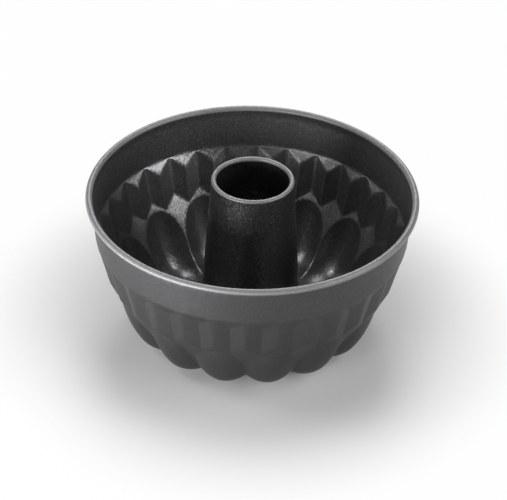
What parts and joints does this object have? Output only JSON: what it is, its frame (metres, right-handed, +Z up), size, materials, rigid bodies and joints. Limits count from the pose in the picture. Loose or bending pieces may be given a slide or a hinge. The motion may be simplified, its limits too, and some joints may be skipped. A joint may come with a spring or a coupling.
{
  "type": "ring cake mould",
  "caption": "Round ring cake mould of dark coated steel sheet, with a wired rim, V flutes, spoon-shaped lobes in the bowl and an open conical centre tube.",
  "frame": {"origin": "on the mould's axis, in the plane that its lobes stand on", "axes": "+Z up along the axis out of the mould's open top; +Y through the middle of one lobe"},
  "size_m": [0.22, 0.22, 0.1163],
  "materials": {
    "coated_shell": "satin dark grey non-stick coating on steel sheet",
    "coated_tube": "satin dark grey non-stick coating on steel sheet",
    "steel_wire": "bright drawn wire"
  },
  "bodies": {
    "root": {"mould_shell": "coated_shell", "centre_tube": "coated_tube", "rim_wire": "steel_wire"}
  },
  "joints": []
}
